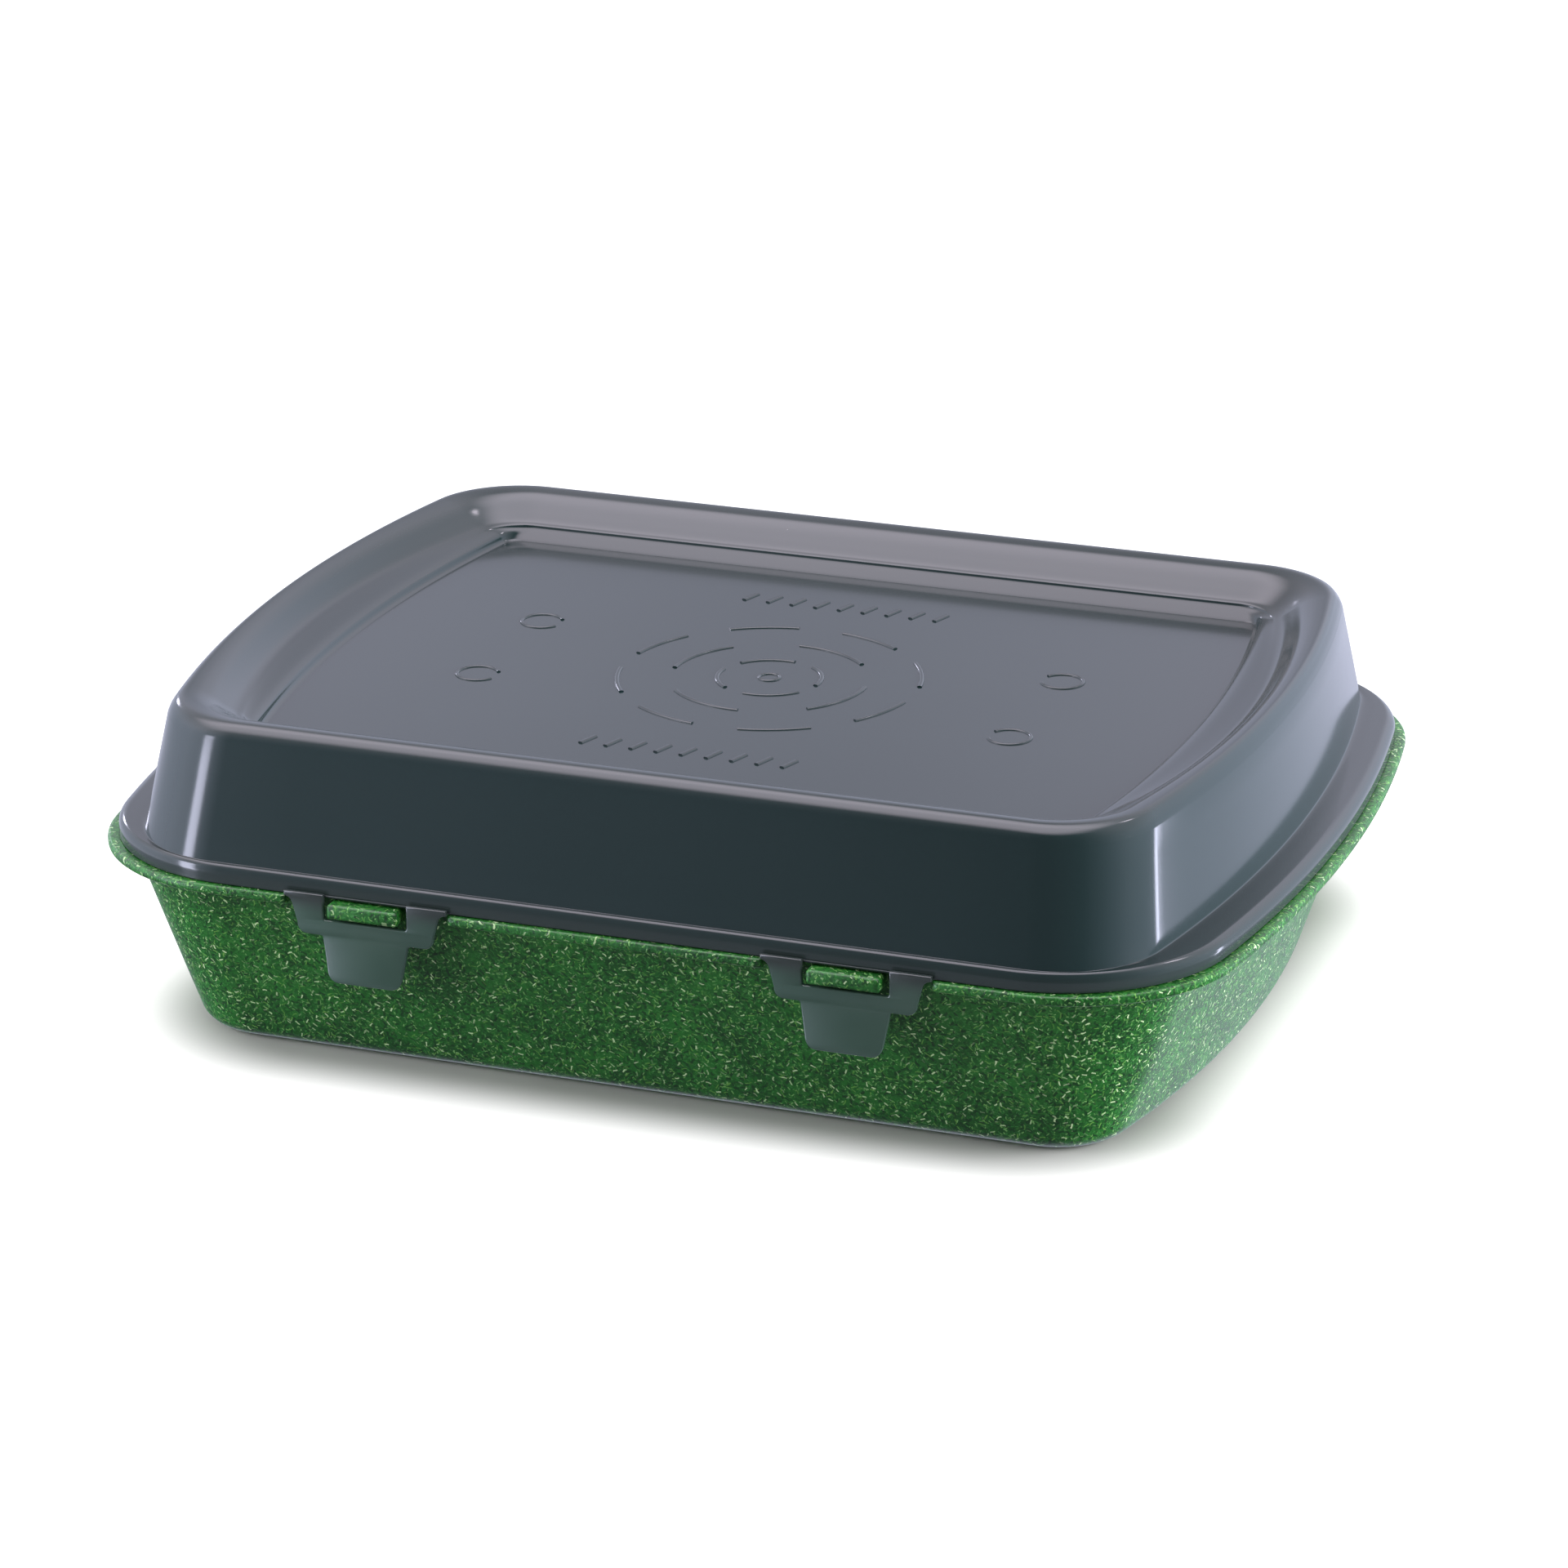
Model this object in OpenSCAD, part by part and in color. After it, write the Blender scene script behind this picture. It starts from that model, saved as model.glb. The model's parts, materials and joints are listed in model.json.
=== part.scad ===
// Reusable meal container: a bowed rectangular tray with a low translucent lid.
// The lid lifts off. Two latch flaps on each long edge hook over lugs of the tray.
// Millimetres. Origin under the middle of the tray, the two front latches at -Y.

/* [Tray] */
// Length over the rim, at the middle of the bowed ends
rim_length = 240; // [220:1:280]
// Width over the rim
rim_width = 183; // [165:1:215]
// How far the short ends bow out
side_bow = 10.6; // [7:0.1:13]
// Corner radius of the rim in plan
rim_corner_r = 34; // [30:0.5:40]
// Height of the tray to the top of its rim
tray_height = 37.8; // [32:0.1:60]
// Thickness of the flat rim
rim_thick = 2.0; // [1.6:0.1:3]
// Rim width outside the wall, short ends
ledge_side = 6.1; // [4:0.1:8]
// Rim width outside the wall, long edges
ledge_front = 3.6; // [3:0.1:5]
// Wall thickness of the tray
tray_wall = 2.0; // [1.6:0.1:2.6]
// Thickness of the tray floor
floor_thick = 2.2; // [1.6:0.1:3]
// Slope of the tray wall from upright, in degrees
tray_draft = 17.7; // [10:0.1:20]
// Outer radius between the base and the wall
base_r = 4.5; // [2:0.5:8]

/* [Lid] */
// Height of the lid's ridge above the rim
lid_rise = 29; // [24:0.5:45]
// How far the lid's edge stays inside the rim, short ends
edge_inset_side = 2.0; // [1:0.1:4]
// How far the lid's edge stays inside the rim, long edges
edge_inset_front = 1.2; // [0.8:0.1:2]
// Gap between the lid's edge and the rim
edge_gap = 0.2; // [0.1:0.1:0.4]
// Thickness of the lid
lid_wall = 1.3; // [1:0.1:1.8]
// Slope of the lid's short ends from upright, in degrees
lid_draft_side = 8.5; // [4:0.5:12]
// Slope of the lid's long walls from upright, in degrees
lid_draft_front = 18; // [10:0.5:20]
// Depth of the sunk top panel below the ridge
panel_depth = 7.8; // [6.6:0.1:10]

/* [Latches] */
// Distance between the middles of the two latches of one edge
latch_spacing = 97; // [84:1:108]
// Width of the latch at its hinge
latch_width = 29.8; // [27:0.1:32]
// Height of the latch from its hinge down to the tip
latch_height = 16.7; // [15:0.1:19]
// Thickness of the latch flap
latch_thick = 1.2; // [0.9:0.1:1.6]
// Width of the finger grip under the window
grip_width = 17.6; // [15:0.1:20]
// Width of the lug of the tray
lug_width = 14.6; // [12:0.1:16]
// Thickness of the lug
lug_thick = 3.0; // [2.4:0.1:3.4]
// How far the lug stands out of the latch flap
lug_proud = 1.5; // [0.8:0.1:2]
// Clearance between the lug and the window on either side
window_gap = 1.3; // [0.8:0.1:1.6]
// Clearance under the lug
hook_gap = 0.9; // [0.7:0.1:1.2]
// Gap between the lid's edge and a latch's hinge bead
hinge_gap = 0.25; // [0.15:0.05:0.4]

/* [Hidden] */
$fn = 48;
// The whole, half sizes of the rim, and the lid's outer edge
total_height = tray_height + lid_rise;
rim_x = rim_length / 2;
rim_y = rim_width / 2;
edge_x = rim_x - edge_inset_side;
edge_y = rim_y - edge_inset_front;
edge_z = tray_height + edge_gap;
// The outer wall of the tray where it meets the underside of the rim
under_z = tray_height - rim_thick;
wall_x = rim_x - ledge_side;
wall_y = rim_y - ledge_front;
wall_r = rim_corner_r - 6.4;
wall_tan = tan(tray_draft);
// The latch flap lies outside the lid's edge, its hinge bead level with that edge
bead_r = latch_thick / 2;
hinge_y = edge_y + hinge_gap + bead_r;
hinge_z = edge_z + 0.4;
flap_out_y = hinge_y + bead_r;
latch_x = latch_spacing / 2;
lug_y = flap_out_y + lug_proud;
lug_z = tray_height - lug_thick;
window_w = lug_width + 2 * window_gap;
window_bottom = lug_z - hook_gap;
shoulder_z = window_bottom - 3.2;
tip_z = hinge_z - latch_height;
notch_half = latch_width / 2 + 1.9;
lug_half = lug_width / 2;

// One quarter of a bowed outline from the middle of the short end to the corner's end.
// s is [half length, half width, bow, corner radius].
function bow_r(s) = (s[1] * s[1] + s[2] * s[2]) / (2 * s[2]);
function bow_cx(s) = s[0] - bow_r(s);
function corner_y(s) = s[1] - s[3];
function corner_x(s) = bow_cx(s) + sqrt(pow(bow_r(s) - s[3], 2) - pow(corner_y(s), 2));
function corner_a(s) = atan2(corner_y(s), corner_x(s) - bow_cx(s));
function end_arc(s, n) = [for (i = [0:n - 1]) let(a = corner_a(s) * i / n)
  [bow_cx(s) + bow_r(s) * cos(a), bow_r(s) * sin(a)]];
function corner_arc(s, n) = [for (i = [0:n]) let(a = corner_a(s) + (90 - corner_a(s)) * i / n)
  [corner_x(s) + s[3] * cos(a), corner_y(s) + s[3] * sin(a)]];

// A whole ring from one quarter: the quarter starts on the X axis and ends on the Y axis.
function turned(q) = [for (i = [0:len(q) - 1]) q[len(q) - 1 - i]];
function mirrored_x(q) = [for (p = q) [-p[0], p[1], p[2]]];
function mirrored_y(q) = [for (p = q) [p[0], -p[1], p[2]]];
function tail(q) = [for (i = [1:len(q) - 1]) q[i]];
function half_ring(q) = concat(q, tail(turned(mirrored_x(q))));
function whole_ring(q) = let(h = half_ring(q), m = turned(mirrored_y(h)))
  concat(h, [for (i = [1:len(m) - 2]) m[i]]);

// A closed shell through rings of equal length, capped at the first and last ring.
module shell_through(rings) {
  n = len(rings[0]);
  k = len(rings);
  points = [for (r = rings) for (p = r) p];
  sides = [for (i = [0:k - 2]) for (j = [0:n - 1]) let(a = i * n + j, b = i * n + (j + 1) % n)
    each [[a, a + n, b + n], [a, b + n, b]]];
  base = [for (j = [0:n - 1]) j];
  top = [for (j = [0:n - 1]) k * n - 1 - j];
  polyhedron(points = points, faces = concat([base], sides, [top]), convexity = 6);
}

// Tray: the outer wall set at a height, and sets between that wall and the rim.
function wall_set(z, inset) = let(o = (under_z - z) * wall_tan + inset)
  [wall_x - o, wall_y - o, side_bow, max(wall_r - 1.15 * o, 3)];
rim_set = [rim_x, rim_y, side_bow, rim_corner_r];
function ledge_set(f) = wall_set(under_z, 0) * (1 - f) + rim_set * f;

// Places along the straight edges: distance from a latch's middle, share of the
// notch, share of the lug. The rim is cut away in the notch and the lug stands in it.
marks = [[-notch_half - 1.4, 0, 0], [-notch_half - 0.5, 0.3, 0], [-notch_half, 1, 0],
  [-lug_half - 0.25, 1, 0], [-lug_half, 1, 0.72], [-lug_half + 0.5, 1, 0.92], [-lug_half + 1.5, 1, 1],
  [lug_half - 1.5, 1, 1], [lug_half - 0.5, 1, 0.92], [lug_half, 1, 0.72], [lug_half + 0.25, 1, 0],
  [notch_half, 1, 0], [notch_half + 0.5, 0.3, 0], [notch_half + 1.4, 0, 0]];
middle_marks = [[0, 0, 0], [latch_x * 0.3, 0, 0]];

// A tray ring: s is its plain set, z its height, and along the straight edges
// zn and reach are its height in the notch and how far it follows the lug out.
function edge_point(x, notch, lug, s, z, zn, reach) = let(w = wall_set(zn, 0)[1])
  [x, s[1] * (1 - notch) + (w + (lug_y - w) * reach * lug) * notch, z * (1 - notch) + zn * notch];
function tray_quarter(s, z, zn, reach, plain) = concat(
  [for (p = end_arc(s, 6)) [p[0], p[1], z]],
  [for (p = corner_arc(s, 6)) [p[0], p[1], z]],
  [for (m = turned(marks)) plain ? [latch_x + m[0], s[1], z]
    : edge_point(latch_x + m[0], m[1], m[2], s, z, zn, reach)],
  [for (m = turned(middle_marks)) [m[0], s[1], z]]);
function plain_ring(s, z) = whole_ring(tray_quarter(s, z, z, 0, true));
function rim_ring(s, z, zn, reach) = whole_ring(tray_quarter(s, z, zn, reach, false));

// The base radius outside, and the radius inside between the wall and the floor.
function foot_inset(r, z0) = (under_z - (z0 + r - r * sin(tray_draft))) * wall_tan + r * cos(tray_draft);
function foot_ring(r, z0, inset, a) = let(o = foot_inset(r, z0) - r * cos(a) + inset, z = z0 + r - r * sin(a))
  plain_ring([wall_x - o, wall_y - o, side_bow, max(wall_r - 1.15 * o, 3)], z);
inner_inset = tray_wall / cos(tray_draft);
inner_r = base_r + 2.5;

module tray() {
  color("forestgreen")
    shell_through([
      foot_ring(base_r, 0, 0, 90),
      foot_ring(base_r, 0, 0, 65),
      foot_ring(base_r, 0, 0, 40),
      foot_ring(base_r, 0, 0, tray_draft),
      rim_ring(wall_set(under_z - 0.7, 0), under_z - 0.7, lug_z - 0.5, 0),
      rim_ring(ledge_set(0.12), under_z, lug_z, 0),
      rim_ring(ledge_set(0.92), under_z + 0.05, lug_z + 0.05, 0.86),
      rim_ring(rim_set, under_z + 0.6, lug_z + 0.7, 1),
      rim_ring(rim_set, tray_height - 0.6, tray_height - 0.6, 1),
      rim_ring(ledge_set(0.92), tray_height, tray_height, 0.88),
      plain_ring(wall_set(tray_height, inner_inset - 0.4), tray_height),
      plain_ring(wall_set(tray_height - 0.6, inner_inset), tray_height - 0.6),
      foot_ring(inner_r, floor_thick, inner_inset, tray_draft),
      foot_ring(inner_r, floor_thick, inner_inset, 42),
      foot_ring(inner_r, floor_thick, inner_inset, 66),
      foot_ring(inner_r, floor_thick, inner_inset, 90)
    ]);
}

// Lid stations from the edge to the sunk panel: distance in from the edge at the short
// ends and at the long edges, bow, corner radius, height, and the way to the inner skin
// at the ends, at the long edges and downwards, in thicknesses.
flange_z = edge_z + 3.7;
ridge_z = total_height;
wall_rise = ridge_z - 3.2 - (flange_z + 1.1);
top_s = 7.8 + wall_rise * tan(lid_draft_side);
top_f = 1.9 + wall_rise * tan(lid_draft_front);
sunk_z = ridge_z - panel_depth;
stations = [
  [0, 0, side_bow, rim_corner_r, edge_z, 0.9, 0.9, 0],
  [0, 0, side_bow, rim_corner_r, edge_z + 1.9, 1, 1, 0.1],
  [0.2, 0.1, side_bow, rim_corner_r - 0.2, edge_z + 2.7, 0.9, 1, 0.45],
  [0.9, 0.35, side_bow, rim_corner_r - 1, edge_z + 3.4, 0.5, 0.9, 0.85],
  [2.0, 0.75, side_bow, rim_corner_r - 2.6, edge_z + 3.72, 0.15, 0.9, 1],
  [4.2, 1.05, side_bow + 0.1, rim_corner_r - 6, edge_z + 3.72, 0, 0.9, 1],
  [6.6, 1.3, side_bow + 0.3, rim_corner_r - 10.4, edge_z + 3.7, 0, 0.9, 1],
  [7.5, 1.52, side_bow + 0.4, rim_corner_r - 12.6, flange_z + 0.05, 0.5, 0.9, 0.9],
  [7.66, 1.61, side_bow + 0.4, rim_corner_r - 12.9, flange_z + 0.25, 1, 1, 0.2],
  [top_s, top_f, side_bow - 0.2, rim_corner_r - 14, ridge_z - 3.2, 0.9, 0.95, 0.35],
  [top_s + 0.5, top_f + 0.38, side_bow - 0.25, rim_corner_r - 14.1, ridge_z - 2.0, 0.75, 0.85, 0.6],
  [top_s + 1.0, top_f + 0.9, side_bow - 0.3, rim_corner_r - 14.3, ridge_z - 1.15, 0.6, 0.7, 0.75],
  [top_s + 1.5, top_f + 1.75, side_bow - 0.3, rim_corner_r - 14.5, ridge_z - 0.4, 0.4, 0.5, 0.9],
  [top_s + 2.2, top_f + 3.2, side_bow - 0.2, rim_corner_r - 15, ridge_z, 0, 0.1, 1],
  [top_s + 3.7, top_f + 5.6, side_bow + 0.2, rim_corner_r - 16.2, ridge_z - 0.35, -0.35, -0.2, 0.95],
  [top_s + 5.4, top_f + 8.0, side_bow + 0.9, rim_corner_r - 18.2, ridge_z - 1.3, -0.7, -0.45, 0.85],
  [top_s + 7.1, top_f + 11.2, side_bow + 1.5, rim_corner_r - 21, ridge_z - 3.2, -0.8, -0.5, 0.8],
  [top_s + 8.4, top_f + 13.4, side_bow + 1.9, rim_corner_r - 22.6, ridge_z - 4.55, -0.7, -0.45, 0.85],
  [top_s + 9.3, top_f + 14.6, side_bow + 1.9, rim_corner_r - 23.5, ridge_z - 5.0, -0.3, -0.45, 0.95],
  [top_s + 11.2, top_f + 14.75, side_bow + 0.5, rim_corner_r - 24.9, ridge_z - 5.35, -0.15, -0.6, 0.95],
  [top_s + 16.8, top_f + 15.9, side_bow - 3.6, rim_corner_r - 29, sunk_z + 1.4, -0.3, -0.65, 0.9],
  [top_s + 17.6, top_f + 17.05, side_bow - 4.1, rim_corner_r - 30.4, sunk_z + 0.35, -0.4, -0.6, 0.9],
  [top_s + 18.4, top_f + 17.35, side_bow - 4.3, rim_corner_r - 31, sunk_z, 0, 0, 1]
];
function lid_ring(t, skin) = let(k = skin * lid_wall,
  s = [edge_x - t[0] - k * t[5], edge_y - t[1] - k * t[6], t[2], max(t[3] - k * t[5], 2.4)],
  z = t[4] - k * t[7])
  whole_ring(concat([for (p = end_arc(s, 7)) [p[0], p[1], z]], [for (p = corner_arc(s, 7)) [p[0], p[1], z]],
    [[corner_x(s) * 0.5, s[1], z], [0, s[1], z]]));

module lid() {
  color("slategray")
    shell_through(concat([for (t = turned(stations)) lid_ring(t, 1)], [for (t = stations) lid_ring(t, 0)]));
}

// The flap's outline in its own plane, upright, with z measured as on the object.
module flap_outline() {
  difference() {
    union() {
      translate([-latch_width / 2, shoulder_z + 1.6])
        square([latch_width, hinge_z - shoulder_z - 1.6]);
      translate([-latch_width / 2 + 1.6, shoulder_z])
        square([latch_width - 3.2, 2]);
      for (side = [-1, 1])
        translate([side * (latch_width / 2 - 1.6), shoulder_z + 1.6])
          circle(r = 1.6);
      translate([-grip_width / 2 + 3.4, tip_z])
        square([grip_width - 6.8, 3]);
      for (side = [-1, 1])
        translate([side * (grip_width / 2 - 3.4), tip_z + 2.4])
          circle(r = 2.4);
      polygon([[-grip_width / 2, shoulder_z + 0.5], [grip_width / 2, shoulder_z + 0.5],
        [grip_width / 2 - 1.03, tip_z + 2.7], [-grip_width / 2 + 1.03, tip_z + 2.7]]);
    }
    translate([-window_w / 2, window_bottom])
      square([window_w, hinge_z - window_bottom + 1]);
  }
}

// One latch at the front edge. The two hinge beads carry the legs beside the window.
module front_latch(x) {
  leg = (latch_width - window_w) / 2;
  color("lightslategray")
    translate([x, -hinge_y, 0]) {
      translate([0, bead_r, 0])
        rotate([90, 0, 0])
          linear_extrude(height = latch_thick)
            flap_outline();
      for (side = [-1, 1])
        translate([side * (window_w / 2 + leg / 2) - leg / 2, 0, hinge_z])
          rotate([0, 90, 0])
            cylinder(r = bead_r, h = leg);
    }
}

module front_left_latch() {
  front_latch(-latch_x);
}

module front_right_latch() {
  front_latch(latch_x);
}

module rear_left_latch() {
  rotate([0, 0, 180])
    front_latch(latch_x);
}

module rear_right_latch() {
  rotate([0, 0, 180])
    front_latch(-latch_x);
}

tray();
lid();
front_left_latch();
front_right_latch();
rear_left_latch();
rear_right_latch();
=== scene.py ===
import json
import math

import bmesh
import bpy
from mathutils import Matrix, Vector

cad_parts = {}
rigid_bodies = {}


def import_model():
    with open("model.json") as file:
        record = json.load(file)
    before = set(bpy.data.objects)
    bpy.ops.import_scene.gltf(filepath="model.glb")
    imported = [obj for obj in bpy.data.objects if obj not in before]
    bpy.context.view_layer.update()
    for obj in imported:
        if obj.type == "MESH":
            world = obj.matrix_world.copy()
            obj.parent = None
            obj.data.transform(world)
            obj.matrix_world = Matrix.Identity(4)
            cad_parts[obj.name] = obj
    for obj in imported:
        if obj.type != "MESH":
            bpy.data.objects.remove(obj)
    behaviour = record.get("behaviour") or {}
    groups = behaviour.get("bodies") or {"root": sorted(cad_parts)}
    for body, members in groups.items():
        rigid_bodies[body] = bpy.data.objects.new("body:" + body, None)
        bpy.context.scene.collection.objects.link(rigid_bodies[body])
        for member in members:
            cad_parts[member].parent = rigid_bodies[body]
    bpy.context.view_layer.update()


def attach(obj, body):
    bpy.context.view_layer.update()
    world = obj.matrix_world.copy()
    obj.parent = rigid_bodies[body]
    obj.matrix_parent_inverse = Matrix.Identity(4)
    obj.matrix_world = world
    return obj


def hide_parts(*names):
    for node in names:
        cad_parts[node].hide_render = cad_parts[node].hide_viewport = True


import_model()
scene = bpy.context.scene
scene.view_settings.view_transform = "Standard"


# Camera. A long lens from the front right, a little above the box,
# turned by a quarter of a degree about its own axis.
turn_round, look_down, tilt = (math.radians(a) for a in (20.18, 20.61, -0.278))
back = Vector((math.sin(turn_round) * math.cos(look_down),
               -math.cos(turn_round) * math.cos(look_down),
               math.sin(look_down)))
aim = Vector((0.0030, 0.0, 0.03663))
level_right = Vector((0, 0, 1)).cross(back).normalized()
level_up = back.cross(level_right)
picture_right = level_right * math.cos(tilt) + level_up * math.sin(tilt)
picture_up = level_up * math.cos(tilt) - level_right * math.sin(tilt)
camera_data = bpy.data.cameras.new("camera")
camera_data.lens = 135
camera_data.sensor_width = 36
camera_data.clip_start, camera_data.clip_end = 0.05, 50
camera = bpy.data.objects.new("camera", camera_data)
camera.matrix_world = Matrix.Translation(aim + back * 1.1822) @ Matrix(
    (picture_right, picture_up, back)).transposed().to_4x4()
scene.collection.objects.link(camera)
scene.camera = camera


# Tray. One moulding of plant-fibre filled plastic: a sloped wall on a rounded foot, bowed
# short ends and a flat rim. The rim is cut away at each of the four latches.
MM = 0.001
SIDE_BOW = 10.6
TRAY_TOP = 37.8
RIM = (120.0, 91.5, SIDE_BOW, 34.0)
RIM_UNDER = 35.8
WALL_LEAN = 17.7
WALL_SLOPE = math.tan(math.radians(WALL_LEAN))
TRAY_WALL = 2.0 / math.cos(math.radians(WALL_LEAN))
# The outer wall just under the rim, and how its corners tighten further in.
WALL_HALF = (113.9, 87.9)
WALL_CORNER, CORNER_SHRINK, LEAST_CORNER = 27.6, 1.15, 3
OUTER_FOOT, INNER_FOOT, FLOOR_THICK, FOOT_FLAT = 4.5, 7.0, 2.2, 2.0
LATCH_X = 48.5
NOTCH_HALF = 16.8


def bowed_quarter(half_x, half_y, bow, corner, end_steps=30, corner_steps=24):
    """A quarter of a bowed, rounded oblong, from the middle of a short end to a long edge."""
    big = (half_y ** 2 + bow ** 2) / (2 * bow)
    big_x = half_x - big
    corner_y = half_y - corner
    corner_x = big_x + math.sqrt((big - corner) ** 2 - corner_y ** 2)
    meet = math.atan2(corner_y, corner_x - big_x)
    points = []
    for i in range(end_steps):
        a = meet * i / end_steps
        points.append((big_x + big * math.cos(a), big * math.sin(a)))
    for i in range(corner_steps + 1):
        a = meet + (math.pi / 2 - meet) * i / corner_steps
        points.append((corner_x + corner * math.cos(a), corner_y + corner * math.sin(a)))
    return points


def whole_ring(quarter):
    """A closed ring of points from a quarter that starts on the X axis and ends on the Y axis."""
    half = quarter + [(-x, y, z) for x, y, z in reversed(quarter[:-1])]
    return half + [(x, -y, z) for x, y, z in reversed(half[1:-1])]


def skin_mesh(name, rings, sharp_angle=40):
    """A closed skin through rings of equal length, with a flat face in the first and last ring."""
    count = len(rings[0])
    points = [tuple(c * MM for c in p) for ring in rings for p in ring]
    faces = [list(range(count - 1, -1, -1))]
    for i in range(len(rings) - 1):
        for j in range(count):
            a, b = i * count + j, i * count + (j + 1) % count
            faces.append([a, b, b + count, a + count])
    faces.append([(len(rings) - 1) * count + j for j in range(count)])
    mesh = bpy.data.meshes.new(name)
    mesh.from_pydata(points, [], faces)
    mesh.shade_smooth()
    mesh.set_sharp_from_angle(angle=math.radians(sharp_angle))
    mesh.validate()
    piece = bpy.data.objects.new(name, mesh)
    scene.collection.objects.link(piece)
    return piece


def line_inside(off):
    """The line that far inside the top of the tray's outer wall."""
    return (WALL_HALF[0] - off, WALL_HALF[1] - off, SIDE_BOW,
            max(WALL_CORNER - CORNER_SHRINK * off, LEAST_CORNER))


def wall_line(z, inset=0.0):
    """The tray's outer wall at a height, or a line that far inside it."""
    return line_inside((RIM_UNDER - z) * WALL_SLOPE + inset)


def rim_line(inset):
    return (RIM[0] - inset, RIM[1] - inset, RIM[2], RIM[3] - inset)


# Along the long edge: distance from the end of the cut, and how much of the rim is gone.
CUT_MARKS = ((-1.3, 0), (-0.8, 0.015), (-0.45, 0.05), (-0.18, 0.11),
             (0, 0.2), (0.02, 1), (0.4, 1))


def tray_ring(line, z, cut_in=None, cut_z=None):
    """One ring of the tray. In the cuts it lies on the wall, cut_in inside it, at height cut_z."""
    if cut_in is None:
        cut_y, cut_z = line[1], z
    else:
        cut_z = z if cut_z is None else cut_z
        cut_y = wall_line(cut_z, cut_in)[1]
    quarter = [(x, y, z) for x, y in bowed_quarter(*line)]
    edge = []
    for side in (1, -1):
        marks = CUT_MARKS if side > 0 else reversed(CUT_MARKS)
        for away, gone in marks:
            edge.append((LATCH_X + side * (NOTCH_HALF - away),
                         line[1] + (cut_y - line[1]) * gone, z + (cut_z - z) * gone))
        if side > 0:
            edge += [(LATCH_X + step, cut_y, cut_z) for step in (8, 0, -8)]
    edge += [(x, line[1], z) for x in (18.0, 0.0)]
    return whole_ring(quarter + edge)


def foot_ring(radius, floor, inset, angle, extra=0.0):
    """A ring in the rounding between the wall and the base, or inside between wall and floor."""
    a, slope = math.radians(angle), math.radians(WALL_LEAN)
    reach = ((RIM_UNDER - (floor + radius - radius * math.sin(slope))) * WALL_SLOPE
             + radius * math.cos(slope))
    off = reach - radius * math.cos(a) + inset + extra
    return tray_ring(line_inside(off), floor + radius - radius * math.sin(a))


tray_rings = [foot_ring(OUTER_FOOT, 0, 0, 90, extra=FOOT_FLAT)]
tray_rings += [foot_ring(OUTER_FOOT, 0, 0, a) for a in (90, 80, 70, 60, 50, 40, 30, 23, WALL_LEAN)]
tray_rings += [tray_ring(wall_line(z), z) for z in (9, 15, 21, 27, 32)]
# Under the rim, round its edge, and over its top to the inner edge.
for line, z, cut_in, cut_z in (
        (wall_line(34.8), 34.8, 0, 34.8), (wall_line(35.3, -0.08), 35.3, 0, 35.2),
        (wall_line(35.65, -0.3), 35.65, 0, 35.5), (wall_line(RIM_UNDER, -0.9), RIM_UNDER, 0, 35.7),
        (rim_line(0.9), 35.84, 0, 35.85), (rim_line(0.35), 35.92, 0, 36.0),
        (rim_line(0.08), 36.15, 0, 36.2), (rim_line(0), 36.5, 0, 36.5),
        (rim_line(0), 37.1, 0, 37.1), (rim_line(0.07), 37.45, 0.05, 37.45),
        (rim_line(0.25), 37.68, 0.2, 37.68), (rim_line(0.55), TRAY_TOP, 0.45, TRAY_TOP),
        (rim_line(1.6), TRAY_TOP, 0.7, TRAY_TOP)):
    tray_rings.append(tray_ring(line, z, cut_in, cut_z))
# Down the inside to the floor.
for inset, z in ((-0.95, TRAY_TOP), (-0.5, 37.72), (-0.15, 37.45), (0, 37.0),
                 (0, 30), (0, 22), (0, 14)):
    tray_rings.append(tray_ring(wall_line(z, TRAY_WALL + inset), z))
tray_rings += [foot_ring(INNER_FOOT, FLOOR_THICK, TRAY_WALL, a)
               for a in (WALL_LEAN, 30, 42, 54, 66, 78, 90)]
tray_rings.append(foot_ring(INNER_FOOT, FLOOR_THICK, TRAY_WALL, 90, extra=FOOT_FLAT))
tray_shell = skin_mesh("tray_shell", tray_rings)


class Number:
    """A number in a material's node tree, so that its maths is written as maths."""

    def __init__(self, finish, socket):
        self.finish, self.socket = finish, socket

    def math(self, operation, *others, clamp=False):
        node = self.finish.node("Math", dict(operation=operation, use_clamp=clamp),
                                **{str(i): v for i, v in enumerate((self, *others))})
        return Number(self.finish, node.outputs[0])

    def __add__(self, other): return self.math("ADD", other)
    def __radd__(self, other): return self.math("ADD", other)
    def __sub__(self, other): return self.math("SUBTRACT", other)
    def __rsub__(self, other): return self.math("MULTIPLY_ADD", -1.0, other)
    def __mul__(self, other): return self.math("MULTIPLY", other)
    def __rmul__(self, other): return self.math("MULTIPLY", other)
    def __truediv__(self, other): return self.math("DIVIDE", other)

    def between(self, low, high):
        """0 below low, 1 above high, smooth between them. High may be the lower one."""
        node = self.finish.node("MapRange", dict(interpolation_type="SMOOTHSTEP"), Value=self)
        start, end, flip = (low, high, False) if low < high else (high, low, True)
        node.inputs["From Min"].default_value, node.inputs["From Max"].default_value = start, end
        out = Number(self.finish, node.outputs["Result"])
        return 1 - out if flip else out


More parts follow.
